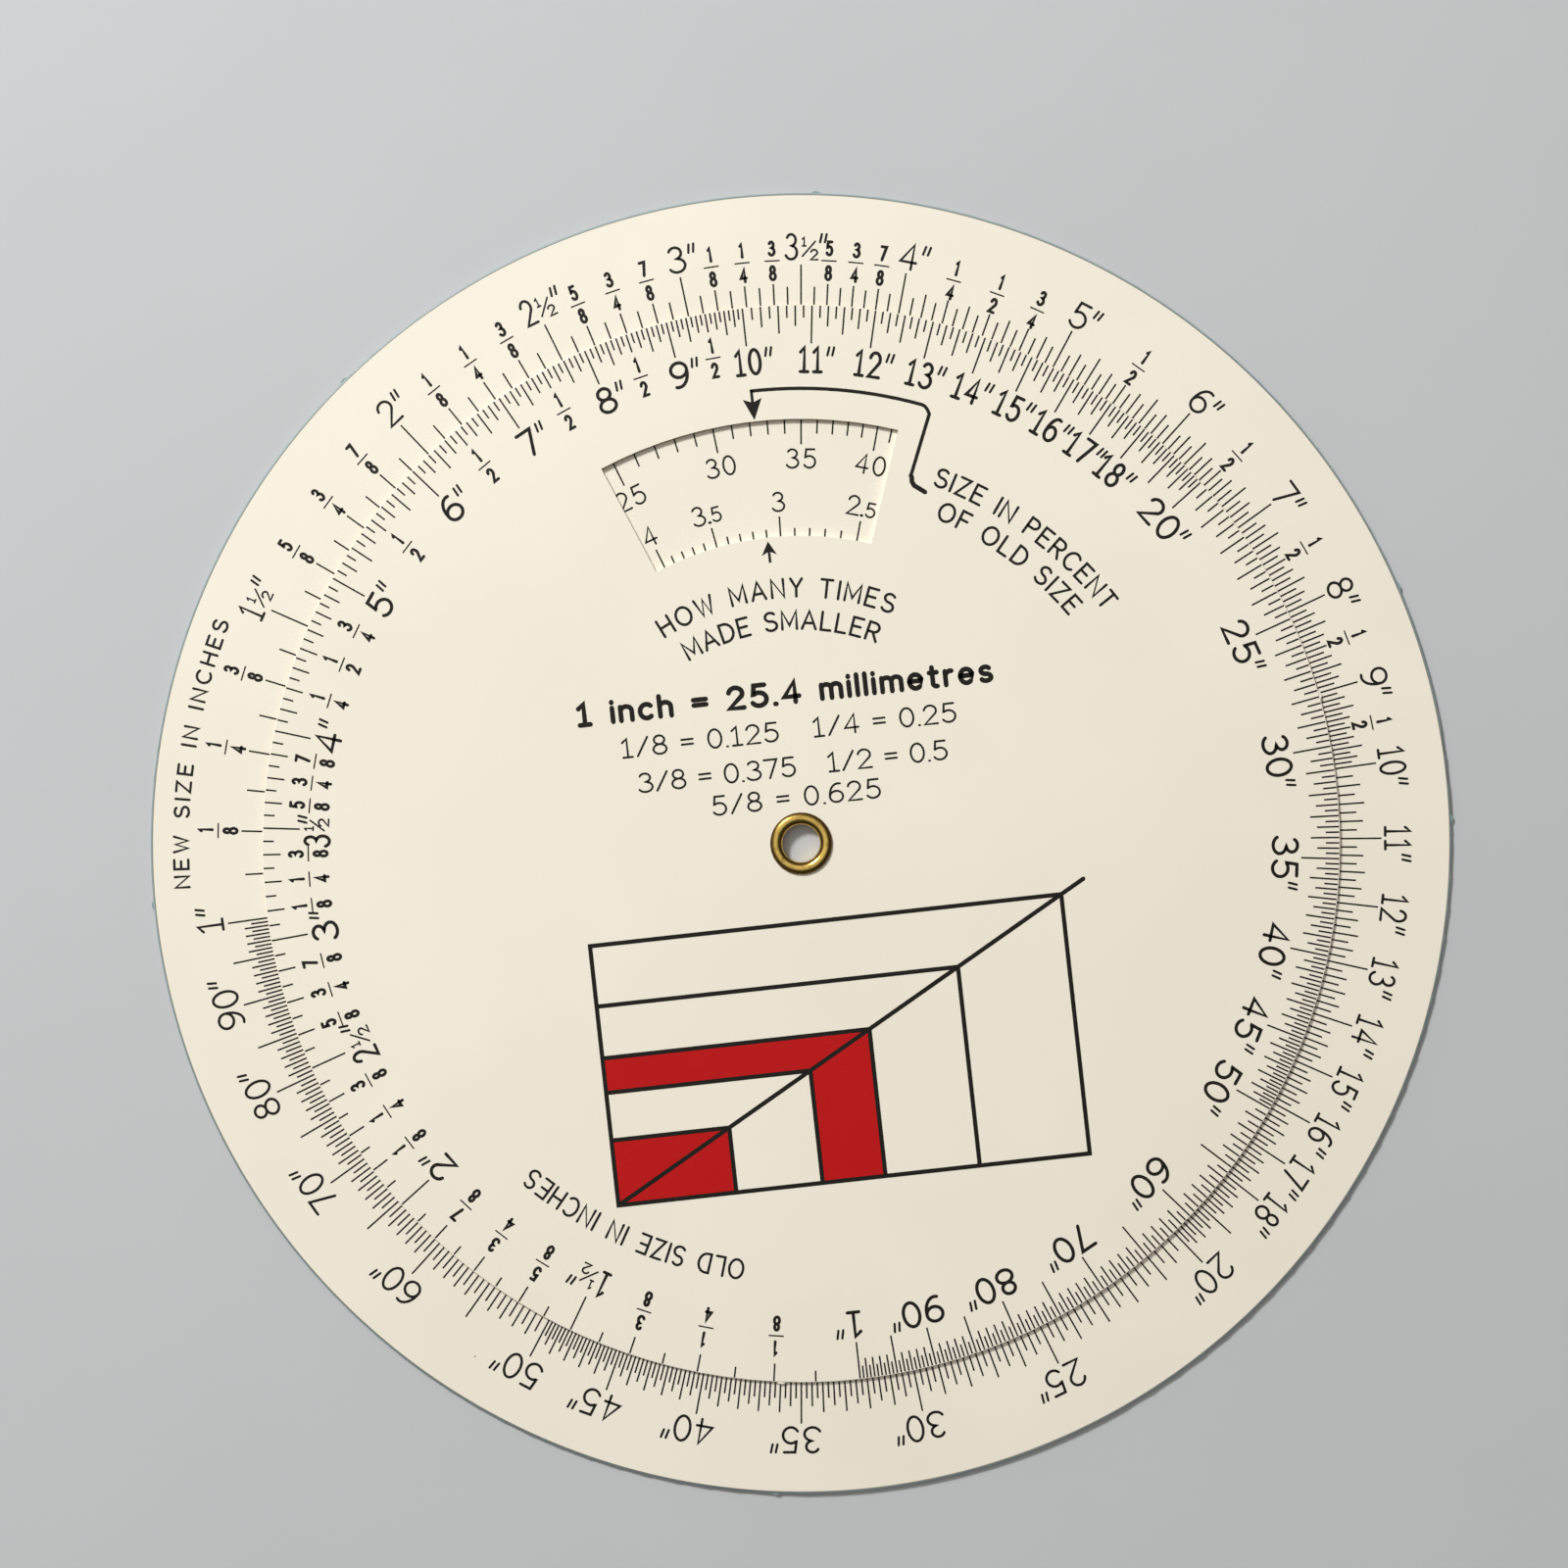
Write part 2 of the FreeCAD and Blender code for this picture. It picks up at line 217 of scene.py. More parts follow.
def ribbon(points, weight):
    """A flat strip along a line, round at its ends or closed into a ring: its corner points and faces."""
    half = weight / 2
    closed = math.dist(points[0], points[-1]) < weight / 100
    spots = [Vector(point) for point in (points[:-1] if closed else points)]
    steps = zip(spots, spots[1:])
    path = spots[:1] + [after for before, after in steps if (after - before).length > SAME_SPOT]
    count = len(path)
    corners = []
    for index, point in enumerate(path):
        runs = unit_runs(path, index, closed)
        along = sum(runs, Vector((0, 0))).normalized()
        mitre = min(MITRE_LIMIT, 1 / max(along.dot(runs[0]), SAME_SPOT))
        aside = Vector((-along.y, along.x)) * half * mitre
        corners += [point + aside, point - aside]
    faces = []
    for index in range(count if closed else count - 1):
        follower = (index + 1) % count
        faces.append([2 * index + 1, 2 * follower + 1, 2 * follower, 2 * index])
    if not closed:
        faces += [round_end(path, end, half, corners) for end in (0, count - 1)]
    return corners, faces


def slab(corners, faces, thickness):
    """A closed mesh as thick as the ink over a flat outline."""
    shape = bmesh.new()
    low = [shape.verts.new((corner[0], corner[1], 0.0)) for corner in corners]
    high = [shape.verts.new((corner[0], corner[1], thickness)) for corner in corners]
    sides = {(a, b) for face in faces for a, b in zip(face, face[1:] + face[:1])}
    for face in faces:
        shape.faces.new([high[index] for index in face])
        shape.faces.new([low[index] for index in reversed(face)])
    for a, b in sides:
        if (b, a) not in sides:
            shape.faces.new([low[a], low[b], high[b], high[a]])
    mesh = bpy.data.meshes.new("slab")
    shape.to_mesh(mesh)
    shape.free()
    return mesh


def union(meshes):
    """One closed mesh from closed meshes that overlap."""
    whole = bpy.data.objects.new("union", meshes[0])
    bpy.context.scene.collection.objects.link(whole)
    for mesh in meshes[1:]:
        other = bpy.data.objects.new("other", mesh)
        bpy.context.scene.collection.objects.link(other)
        joint = whole.modifiers.new("joint", "BOOLEAN")
        joint.operation = "UNION"
        joint.solver = "MANIFOLD"
        joint.object = other
        evaluated = whole.evaluated_get(bpy.context.evaluated_depsgraph_get())
        joined = bpy.data.meshes.new_from_object(evaluated)
        whole.modifiers.clear()
        whole.data = joined
        bpy.data.objects.remove(other)
    result = whole.data
    bpy.data.objects.remove(whole)
    return result


def strokes_mesh(strokes, thickness=INK):
    """Closed mesh of several strokes, each a line and its weight, in millimetres."""
    return union([slab(*ribbon(points, weight), thickness) for points, weight in strokes])


# Letters already made, by character and style
CUT_TYPE = {}


def cut_letter(character, style):
    """The mesh of one character in one style, made once."""
    key = (character, style)
    if key not in CUT_TYPE:
        inset = style.weight / 2
        span = style.height - style.weight
        strokes = []
        for stroke in GLYPHS[character][1]:
            line = [(inset + x * style.height * style.stretch, inset + y * span) for x, y in stroke]
            strokes.append((line, style.weight))
        CUT_TYPE[key] = strokes_mesh(strokes)
    return CUT_TYPE[key]


def on_circle(bearing, radius):
    """Places flat work on a disc: x runs clockwise along the circle at a radius, y outward."""
    turn = math.radians(bearing)
    out = Vector((math.sin(turn), math.cos(turn)))
    along = Vector((math.cos(turn), -math.sin(turn)))
    return lambda x, y: along * x + out * (radius + y)


class Print:
    """One pass of print on one disc, gathered into one mesh."""

    def __init__(self, face):
        self.face = face
        self.corners = []
        self.faces = []

    def add(self, mesh, place, x=0.0, y=0.0):
        first = len(self.corners)
        for vertex in mesh.vertices:
            spot = place(vertex.co.x + x, vertex.co.y + y)
            self.corners.append((spot.x * MM, spot.y * MM, (self.face + vertex.co.z) * MM))
        self.faces += [[first + index for index in face.vertices] for face in mesh.polygons]

    def text(self, text, style, place, x=0.0, y=0.0):
        """Writes along x from its left end, and returns where it stops."""
        for character in text:
            if GLYPHS[character][1]:
                self.add(cut_letter(character, style), place, x, y)
            x += style.advance(character) + style.gap
        return x - style.gap

    def centred(self, text, style, place, y=0.0):
        return self.text(text, style, place, -style.length(text) / 2, y)

    def along_arc(self, text, style, radius, start, end):
        """Writes letter by letter round a circle, spaced to fill the arc from start to end."""
        middle = radius + style.height / 2
        room = math.radians(end - start) * middle
        gap = (room - sum(style.advance(character) for character in text)) / (len(text) - 1)
        travelled = 0.0
        for character in text:
            width = style.advance(character)
            bearing = start + math.degrees((travelled + width / 2) / middle)
            if GLYPHS[character][1]:
                self.add(cut_letter(character, style), on_circle(bearing, radius), -width / 2)
            travelled += width + gap

    def strokes(self, strokes, place, thickness=INK):
        self.add(strokes_mesh(strokes, thickness), place)

    def make(self, name, body, finish):
        mesh = bpy.data.meshes.new(name)
        mesh.from_pydata(self.corners, [], self.faces)
        mesh.materials.append(finish)
        piece = bpy.data.objects.new(name, mesh)
        bpy.context.scene.collection.objects.link(piece)
        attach(piece, body)
        return piece


# Finishes

def feed(tree, socket, value):
    """Sets an input to a value, or links another node's output to it."""
    if isinstance(value, bpy.types.NodeSocket):
        tree.links.new(value, socket)
    else:
        socket.default_value = value


def node(tree, kind, settings=None, inputs=None):
    """Adds a shader node. An input may be a value or another node's output."""
    made = tree.nodes.new(kind)
    for name, value in (settings or {}).items():
        setattr(made, name, value)
    for name, value in (inputs or {}).items():
        feed(tree, made.inputs[name], value)
    return made


def blank_material(name):
    """A material with a Principled shader, its node tree, shader and object coordinates."""
    material = bpy.data.materials.new(name)
    material.use_nodes = True
    tree = material.node_tree
    shader = tree.nodes["Principled BSDF"]
    place = node(tree, "ShaderNodeTexCoord").outputs["Object"]
    return material, tree, shader, place


def noise(tree, place, scale, detail=3.0, roughness=0.5):
    inputs = {"Vector": place, "Scale": scale, "Detail": detail, "Roughness": roughness}
    return node(tree, "ShaderNodeTexNoise", inputs=inputs).outputs["Fac"]


def remap(tree, value, low, high, to_low=0.0, to_high=1.0):
    inputs = {"Value": value, "From Min": low, "From Max": high, "To Min": to_low, "To Max": to_high}
    return node(tree, "ShaderNodeMapRange", inputs=inputs).outputs["Result"]


def math_node(tree, operation, first, second=0.0):
    return node(tree, "ShaderNodeMath", {"operation": operation}, {0: first, 1: second}).outputs[0]


def blend(tree, factor, first, second):
    """Mixes two colours."""
    inputs = {0: factor, 6: first, 7: second}
    return node(tree, "ShaderNodeMix", {"data_type": "RGBA"}, inputs).outputs[2]


def distance_from_axis(tree, place):
    flat = node(tree, "ShaderNodeVectorMath", {"operation": "MULTIPLY"}, {0: place, 1: (1.0, 1.0, 0.0)})
    return node(tree, "ShaderNodeVectorMath", {"operation": "LENGTH"}, {0: flat.outputs[0]}).outputs["Value"]


def stretched(tree, place, scale, turn):
    """Coordinates drawn out one way, for scratches."""
    inputs = {"Vector": place, "Scale": scale, "Rotation": (0.0, 0.0, math.radians(turn))}
    return node(tree, "ShaderNodeMapping", inputs=inputs).outputs["Vector"]


def bumped(tree, shader, height, strength, distance, under=None):
    """Adds a relief of a depth in metres, over another relief where one is given."""
    inputs = {"Height": height, "Strength": strength, "Distance": distance}
    if under is not None:
        inputs["Normal"] = under
    normal = node(tree, "ShaderNodeBump", inputs=inputs).outputs["Normal"]
    tree.links.new(normal, shader.inputs["Normal"])
    return normal


# Colours, as the shaders take them
CREAM = (0.862, 0.806, 0.7, 1.0)
CREAM_AGED = (0.835, 0.775, 0.66, 1.0)
BASE_CUT = (0.24, 0.32, 0.33, 1.0)
# Brown painted shade on the top disc's cut walls, from the window's outer edge outward
TOP_CUT_SHADE = (0.36, 0.27, 0.15, 1.0)
# The dark line inside the base disc's rim: a burr, darkened further as painted shade
BURR_AND_SHADE = (0.05, 0.055, 0.045, 1.0)
SPECK = (0.33, 0.26, 0.18, 1.0)
BLACK_INK = (0.008, 0.007, 0.005, 1.0)
WORN_INK = (0.03, 0.027, 0.02, 1.0)
RED = (0.46, 0.003, 0.004, 1.0)
RED_THIN = (0.56, 0.012, 0.012, 1.0)
BRASS = (0.82, 0.57, 0.15, 1.0)
# Tarnish in stains, and tarnish with painted shade in the eyelet's throat and round its seat
TARNISH_AND_SHADE = (0.085, 0.04, 0.009, 1.0)

# Scales of the noise on a sheet, per metre, how far its grain and its burr band, partly painted shade, show,
# and the size of a speck as a share of its cell
AGEING_SCALE = 28.0
GRAIN_SCALE = 2600.0
GRAIN_DEPTH = 0.1
SPECK_CELLS = 95.0
SPECK_CHOICE_SCALE = 400.0
SPECK_SIZE = (0.008, 0.017)
HANDLING_SCALE = 45.0
WAVE_SCALE = 55.0
BURR_AND_SHADE_DEPTH = 0.8

# A cut rim, in millimetres: its bands, the inner one a burr with painted shade, how softly they begin, and
# how far inside the window's outer edge the top disc's cut walls lose their painted brown shade
CUT_WIDTH = 0.26
BURR_AND_SHADE_WIDTH = 0.12
RIM_SOFTNESS = 0.05
WINDOW_MARGIN = 0.25
WINDOW_SOFTNESS = 0.1

# Scratches: stretch along and across, bearing in degrees, and how much they roughen the sheet
SCRATCHES = ((60.0, 2400.0, 1.0), 28)
CROSS_SCRATCHES = ((2200.0, 45.0, 1.0), -17)
SCRATCH_ROUGHNESS = 0.1

# Reliefs: strength and depth in metres
WAVE_RELIEF = (0.35, 0.00025)
PORE_RELIEF = (0.25, 0.00001)
SCRATCH_RELIEF = (0.3, 0.000006)
INK_RELIEF = (0.2, 0.000004)
DENT_RELIEF = (0.35, 0.00003)
TURNING_RELIEF = (0.25, 0.000006)

# Ink: noise scales, gloss, and the roughness of the two inks
STARVED_SCALE = 3200.0
PATCH_SCALE = 160.0
INK_SPECULAR = 0.2
BLACK_ROUGHNESS = 0.5
RED_ROUGHNESS = 0.42

# The eyelet: where its bright lip ends, its dark throat ends and its dark skirt begins, in millimetres from
# the axis, the throat and skirt darkened with tarnish and painted shade, the scales of its noise, and how
# dark the tarnish and painted shade get
LIP = (2.46, 2.58)
THROAT = (2.92, 2.72)
SKIRT = (3.26, 3.66)
STAIN_SCALE = 900.0
STAIN_DEPTH = 0.7
DENT_SCALE = 1400.0
TURNING_SCALE = 30000.0
TARNISH_AND_SHADE_DEPTH = 0.92


def rim_colour(tree, place, colour, cut_and_shade, radius):
    """A die-cut rim: a band of cut edge and a thin dark band inside it, a burr with painted shade."""
    out = distance_from_axis(tree, place)
    burr_and_shade_start = (radius - CUT_WIDTH - BURR_AND_SHADE_WIDTH) * MM
    cut_start = (radius - CUT_WIDTH) * MM
    # The dark band inside the cut is partly burr and partly painted shade
    burr_and_shade = remap(tree, out, burr_and_shade_start, burr_and_shade_start + RIM_SOFTNESS * MM, 0.0, BURR_AND_SHADE_DEPTH)
    edge = remap(tree, out, cut_start, cut_start + RIM_SOFTNESS * MM)
    return blend(tree, edge, blend(tree, burr_and_shade, colour, BURR_AND_SHADE), cut_and_shade)


def cut_sides(tree, colour, cut_and_shade):
    """Shows the cut's colour on the sides of a sheet, and not on its front or back; on the top disc that
    colour is painted shade.
    """
    facing = node(tree, "ShaderNodeNewGeometry").outputs["Normal"]
    height = node(tree, "ShaderNodeSeparateXYZ", inputs={"Vector": facing}).outputs["Z"]
    level = math_node(tree, "ABSOLUTE", height)
    return blend(tree, remap(tree, level, 0.1, 0.45, 1.0, 0.0), colour, cut_and_shade)


def aged_cream(tree, place, grain):
    """Cream with faint ageing, mottle and sparse specks."""
    ageing = remap(tree, noise(tree, place, AGEING_SCALE, 5.0), 0.35, 0.68)
    colour = blend(tree, ageing, CREAM, CREAM_AGED)
    colour = blend(tree, remap(tree, grain, 0.3, 0.8, 0.0, GRAIN_DEPTH), colour, CREAM_AGED)
    cells = node(tree, "ShaderNodeTexVoronoi", inputs={"Vector": place, "Scale": SPECK_CELLS})
    near = remap(tree, cells.outputs["Distance"], *SPECK_SIZE, 1.0, 0.0)
    chosen = remap(tree, noise(tree, cells.outputs["Position"], SPECK_CHOICE_SCALE), 0.55, 0.62)
    return blend(tree, math_node(tree, "MULTIPLY", near, chosen), colour, SPECK)


def scratch_marks(tree, place):
    """Fine scratches in two directions."""
    along = noise(tree, stretched(tree, place, *SCRATCHES), 1.0, 2.0)
    across = noise(tree, stretched(tree, place, *CROSS_SCRATCHES), 1.0, 2.0)
    return math_node(tree, "MAXIMUM", remap(tree, along, 0.66, 0.74), remap(tree, across, 0.67, 0.75))


def sheet_finish(name, cut_and_shade, rim_radius=None, shade_from=None):
    """Satin cream vinyl: faint ageing and mottle, sparse specks, fine scratches and a darker cut edge, which
    on the top disc is a brown painted shade on the cut walls from the window's outer edge outward.
    """
    material, tree, shader, place = blank_material(name)
    grain = noise(tree, place, GRAIN_SCALE, 2.0)
    colour = aged_cream(tree, place, grain)
    if rim_radius:
        colour = rim_colour(tree, place, colour, cut_and_shade, rim_radius)
    # From the window's outer edge outward the top disc's cut walls get the brown painted shade; the walls
    # inside stay cream
    if shade_from:
        out = distance_from_axis(tree, place)
        shaded_walls = remap(tree, out, (shade_from - WINDOW_SOFTNESS) * MM, shade_from * MM)
        cut_and_shade = blend(tree, shaded_walls, CREAM, cut_and_shade)
    tree.links.new(cut_sides(tree, colour, cut_and_shade), shader.inputs["Base Color"])
    marks = scratch_marks(tree, place)
    handled = remap(tree, noise(tree, place, HANDLING_SCALE), 0.3, 0.75, 0.36, 0.47)
    dulled = math_node(tree, "MULTIPLY", marks, SCRATCH_ROUGHNESS)
    tree.links.new(math_node(tree, "ADD", handled, dulled), shader.inputs["Roughness"])
    waves = bumped(tree, shader, noise(tree, place, WAVE_SCALE, 1.0), *WAVE_RELIEF)
    pores = bumped(tree, shader, grain, *PORE_RELIEF, waves)
    bumped(tree, shader, marks, *SCRATCH_RELIEF, pores)
    shader.inputs["IOR"].default_value = 1.5
    return material


def ink_finish(name, full, thin, roughness):
    """Screen ink: dense, with a faint starved grain."""
    material, tree, shader, place = blank_material(name)
    starved = remap(tree, noise(tree, place, STARVED_SCALE, 3.0), 0.56, 0.8)
    patches = remap(tree, noise(tree, place, PATCH_SCALE), 0.4, 0.7)
    colour = blend(tree, math_node(tree, "MULTIPLY", starved, patches), full, thin)
    tree.links.new(colour, shader.inputs["Base Color"])
    dulled = remap(tree, patches, 0.0, 1.0, roughness - 0.06, roughness + 0.08)
    tree.links.new(dulled, shader.inputs["Roughness"])
    bumped(tree, shader, starved, *INK_RELIEF)
    shader.inputs["Specular IOR Level"].default_value = INK_SPECULAR
    return material


def eyelet_grime(tree, place, out):
    """Darkening in the throat and round the seat, tarnish with painted shade, and tarnish in scattered
    stains; none on the crest and lip.
    """
    lip = remap(tree, out, *(radius * MM for radius in LIP))
    # The throat and the skirt round the seat are darkened as tarnish and as painted shade
    throat = math_node(tree, "MULTIPLY", remap(tree, out, *(radius * MM for radius in THROAT)), lip)
    skirt = remap(tree, out, *(radius * MM for radius in SKIRT))
    stain = remap(tree, noise(tree, place, STAIN_SCALE, 4.0), 0.46, 0.72, 0.0, STAIN_DEPTH)
    tarnish_and_shade = math_node(tree, "MAXIMUM", math_node(tree, "MAXIMUM", throat, skirt), stain)
    return math_node(tree, "MULTIPLY", tarnish_and_shade, TARNISH_AND_SHADE_DEPTH)


def brass_finish(name):
    """Handled brass: bright crest and lip, browned in the throat and round the seat with tarnish and painted
    shade, finely turned.
    """
    material, tree, shader, place = blank_material(name)
    out = distance_from_axis(tree, place)
    tarnish_and_shade = eyelet_grime(tree, place, out)
    tree.links.new(blend(tree, tarnish_and_shade, BRASS, TARNISH_AND_SHADE), shader.inputs["Base Color"])
    tree.links.new(remap(tree, tarnish_and_shade, 0.0, TARNISH_AND_SHADE_DEPTH, 0.16, 0.36), shader.inputs["Roughness"])
    dents = noise(tree, place, DENT_SCALE, 3.0)
    rings = node(tree, "ShaderNodeCombineXYZ", inputs={"X": out}).outputs[0]
    under = bumped(tree, shader, dents, *DENT_RELIEF)
    bumped(tree, shader, noise(tree, rings, TURNING_SCALE, 1.0), *TURNING_RELIEF, under)
    shader.inputs["Metallic"].default_value = 1.0
    return material


def dress_cad_nodes(ink):
    """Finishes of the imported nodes."""
    finishes = {
        "base_disc": sheet_finish("base_sheet_vinyl", BASE_CUT, BASE_RADIUS),
        # The top disc's cut walls from the window's outer edge outward carry a brown painted shade
        "top_disc": sheet_finish("top_sheet_vinyl", TOP_CUT_SHADE, shade_from=WINDOW_OUTER_RADIUS - WINDOW_MARGIN),
        "eyelet": brass_finish("eyelet_brass"),
    }
    for name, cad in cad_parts.items():
        cad.data.materials.clear()
        cad.data.materials.append(finishes.get(name, ink))


# Print

# Inches that are written out, those with a half and eighths after them, and the fractions
UNITS = range(1, 10)
TEENS = range(10, 19)
TENS = (20, 25, 30, 35, 40, 45, 50, 60, 70, 80, 90)
HALVED = (1, 2, 3)
EIGHTHS = [(1, 8), (1, 4), (3, 8), None, (5, 8), (3, 4), (7, 8)]
QUARTERS = [(1, 4), (1, 2), (3, 4)]

# Spaces and small parts of the inch figures, in millimetres
INCH_GAP = 0.38
HALF_GAP = 0.32
HALF_SLASH_WEIGHT = 0.22
BAR_HALF_LENGTH = 0.9
BAR_WEIGHT = 0.18
LOWER_DIGIT_DROP = 2.58
UPPER_DIGIT_RISE = 0.55

# The half after a number: how far it moves the number, its width, the places of its one, its two and
# the inch sign, and its slash
HALF = {
    "shift": 0.0,
    "width": 2.1,
    "one": (0.1, 1.75),
    "two": (1.15, 0.0),
    "sign": (2.3, 0.0),
    "slash": [(0.2, 0.55), (1.85, 2.45)],
}
TIGHT_HALF = {
    "shift": -0.5,
    "width": 1.5,
    "one": (0.05, 2.2),
    "two": (0.62, 0.25),
    "sign": (0.95, 0.85),
    "slash": [(0.15, 0.9), (1.4, 2.7)],
}


def bearing_of(value, one_bearing):
    """Where a value stands on a scale, from where its one stands."""
    return one_bearing + DEGREES_PER_DECADE * math.log10(value)


def bearing_point(bearing, radius):
    turn = math.radians(bearing)
    return (radius * math.sin(turn), radius * math.cos(turn))


def numeral(sheet, text, style, place):
    """A whole number of inches, centred on its mark, with the inch sign after it."""
    end = sheet.centred(text, style, place)
    sheet.text('"', INCH_MARK, place, end + INCH_GAP)


def numeral_and_half(sheet, digit, style, place, half):
    """A number and a half: the digit, a small one over a slash over a small two, and the inch sign."""
    start = half["shift"] - (style.advance(digit) + HALF_GAP + half["width"]) / 2
    left = sheet.text(digit, style, place, start) + HALF_GAP
    for part, character, size in (("one", "1", HALF_ONE), ("two", "2", HALF_TWO), ("sign", '"', INCH_MARK)):
        x, y = half[part]
        sheet.text(character, size, place, left + x, y)
    sheet.strokes([([(left + x, y) for x, y in half["slash"]], HALF_SLASH_WEIGHT)], place)


def stacked_fraction(sheet, over, under, bearing, bar_radius):
    """A bold fraction with its bar square to the mark."""
    place = on_circle(bearing, bar_radius)
    for digit, y in ((over, UPPER_DIGIT_RISE), (under, -LOWER_DIGIT_DROP)):
        character = FOOTLESS_ONE if digit == 1 else str(digit)
        sheet.centred(character, STACKED, place, y)
    sheet.strokes([([(-BAR_HALF_LENGTH, 0.0), (BAR_HALF_LENGTH, 0.0)], BAR_WEIGHT)], place)


def inch_numerals(sheet, one_bearing, radius, wide, narrow, teens, tight=()):
    """Every figure of an inch scale, with a tight half where its neighbours leave no room."""
    def at(value):
        return on_circle(bearing_of(value, one_bearing), radius)

    for value in UNITS:
        numeral(sheet, str(value), wide, at(value))
    for value in HALVED:
        half = TIGHT_HALF if value in tight else HALF
        numeral_and_half(sheet, str(value), narrow, at(value + 0.5), half)
    for value in TEENS:
        numeral(sheet, str(value), teens, at(value))
    for value in TENS:
        numeral(sheet, str(value), wide, at(value))


def inch_fractions(sheet, one_bearing, bar_radius):
    """Every stacked fraction of an inch scale."""
    for whole in HALVED:
        for step, fraction in enumerate(EIGHTHS, 1):
            if fraction:
                stacked_fraction(sheet, *fraction, bearing_of(whole + step / 8, one_bearing), bar_radius)
    for step, fraction in enumerate(QUARTERS, 1):
        stacked_fraction(sheet, *fraction, bearing_of(4 + step / 4, one_bearing), bar_radius)
    for whole in range(5, 10):
        stacked_fraction(sheet, 1, 2, bearing_of(whole + 0.5, one_bearing), bar_radius)


# Percentages that are written out, and the gap on each side of a decimal point
PERCENTAGES = [
    *range(10, 50, 5), *range(50, 100, 10), *range(100, 200, 20), *range(200, 500, 50),
    *range(500, 1000, 100),
]
POINT_GAP = 0.35


def percent_place(percent, radius):
    return on_circle(bearing_of(percent / 10, BASE_ONE_BEARING), radius)


def reduction_reading(sheet, halves):
    """A number of times of reduction, counted in halves, centred on its mark or on its point."""
    whole, odd = divmod(halves, 2)
    place = percent_place(200 / halves, REDUCTION_NUMERAL_RADIUS)
    if odd:
        sheet.text(str(whole), READING, place, -POINT_GAP - READING.advance(str(whole)))
        sheet.centred(".", READING_POINT, place)
        sheet.text("5", READING_DECIMAL, place, POINT_GAP)
    else:
        sheet.centred(str(whole), READING, place)


def window_readings(sheet):
    """Percentages and times of reduction on the base disc, all the way round under the window's path."""
    for percent in PERCENTAGES:
        sheet.centred(str(percent), READING, percent_place(percent, PERCENT_NUMERAL_RADIUS))
    for halves in [*range(2, 11), *range(12, 20, 2)]:
        reduction_reading(sheet, halves)


# Legends: text, style, radius of the baseline, bearings where it starts and ends
OUTER_LEGENDS = [("NEW SIZE IN INCHES", OUTER_LEGEND, 77.6, 265.8, 291.1)]
INNER_LEGENDS = [
    ("OLD SIZE IN INCHES", INNER_LEGEND, 53.1, 187.6, 219.5),
    ("SIZE IN PERCENT", LEGEND, 48.2, 20.1, 52.5),
    ("OF OLD SIZE", LEGEND, 44.4, 22.4, 49.6),
    ("HOW MANY TIMES", LEGEND, 31.1, -33.6, 21.5),
    ("MADE SMALLER", LEGEND, 27.0, -31.5, 20.5),
]

# Lead line from the upper arrow to its legend: weights, steps and radius of its arc, bearings, how far
# its corner drops, and the points of its foot as bearings and radii
LEAD_WEIGHT = 0.44
LEAD_FOOT_WEIGHT = 0.6
LEAD_STEPS = 14
LEAD_RADIUS = 57.6
LEAD_START = -6.3
LEAD_TURN = 15.4
LEAD_DROP_BEARING = 16.6
LEAD_DROP_END = 48.6
LEAD_CORNER = 0.9
LEAD_CORNER_SHARES = (0.35, 0.65, 0.87, 1.0)
LEAD_FOOT = [(16.8, 48.4), (17.0, 47.9), (17.5, 47.5), (18.3, 47.35), (19.4, 47.15)]


def lead_line(sheet):
    """The line over the window that leads from the arrow round a corner and down to its legend."""
    span = LEAD_TURN - LEAD_START
    over = [
        bearing_point(LEAD_START + span * step / LEAD_STEPS, LEAD_RADIUS) for step in range(LEAD_STEPS + 1)
    ]
    bend = LEAD_DROP_BEARING - LEAD_TURN
    corner = [
        bearing_point(LEAD_TURN + bend * share, LEAD_RADIUS - LEAD_CORNER * share**2)
        for share in LEAD_CORNER_SHARES
    ]
    drop = [bearing_point(LEAD_DROP_BEARING, LEAD_DROP_END)]
    foot = [bearing_point(bearing, radius) for bearing, radius in LEAD_FOOT]
    strokes = [(over + corner + drop, LEAD_WEIGHT), (drop + foot, LEAD_FOOT_WEIGHT)]
    sheet.strokes(strokes, lambda x, y: Vector((x, y)))


def on_top_disc(x, y):
    """Places flat work on the top disc, whose own upright stands at its ten inch mark."""
    turn = math.radians(bearing_of(10, TOP_ONE_BEARING))
    return Vector((math.cos(turn), -math.sin(turn))) * x + Vector((math.sin(turn), math.cos(turn))) * y


# Conversion lines: text, style, baseline and width
CONVERSIONS = [
    ("1 inch = 25.4 millimetres", BOLD_LINE, 17.6, 53.0),
    ("1/8 = 0.125   1/4 = 0.25", THIN_LINE, 13.1, 42.6),
    ("3/8 = 0.375   1/2 = 0.5", THIN_LINE, 8.5, 39.4),
    ("5/8 = 0.625", THIN_LINE, 4.6, 21.5),
]


def conversion_lines(sheet):
    """Lines of text, each spaced out to its width."""
    for text, style, baseline, width in CONVERSIONS:
        natural = sum(style.advance(character) for character in text)
        fitted = Style(style.height, style.weight, style.stretch, (width - natural) / (len(text) - 1))
        sheet.centred(text, fitted, on_top_disc, baseline)


# Nested frames of one proportion on a common corner and diagonal
FIGURE_CORNER = (-28.0, -43.0)
FIGURE_WIDTHS = [15.0, 26.0, 34.0, 46.0, 60.0]
FIGURE_RATIO = 0.55
FIGURE_LINE = 0.55
DIAGONAL_OVERRUN = 1.05


def figure_point(width, height_of):
    """A corner of the figure: out along its foot by a width, and up by the height that goes with another."""
    return (FIGURE_CORNER[0] + width, FIGURE_CORNER[1] + height_of * FIGURE_RATIO)


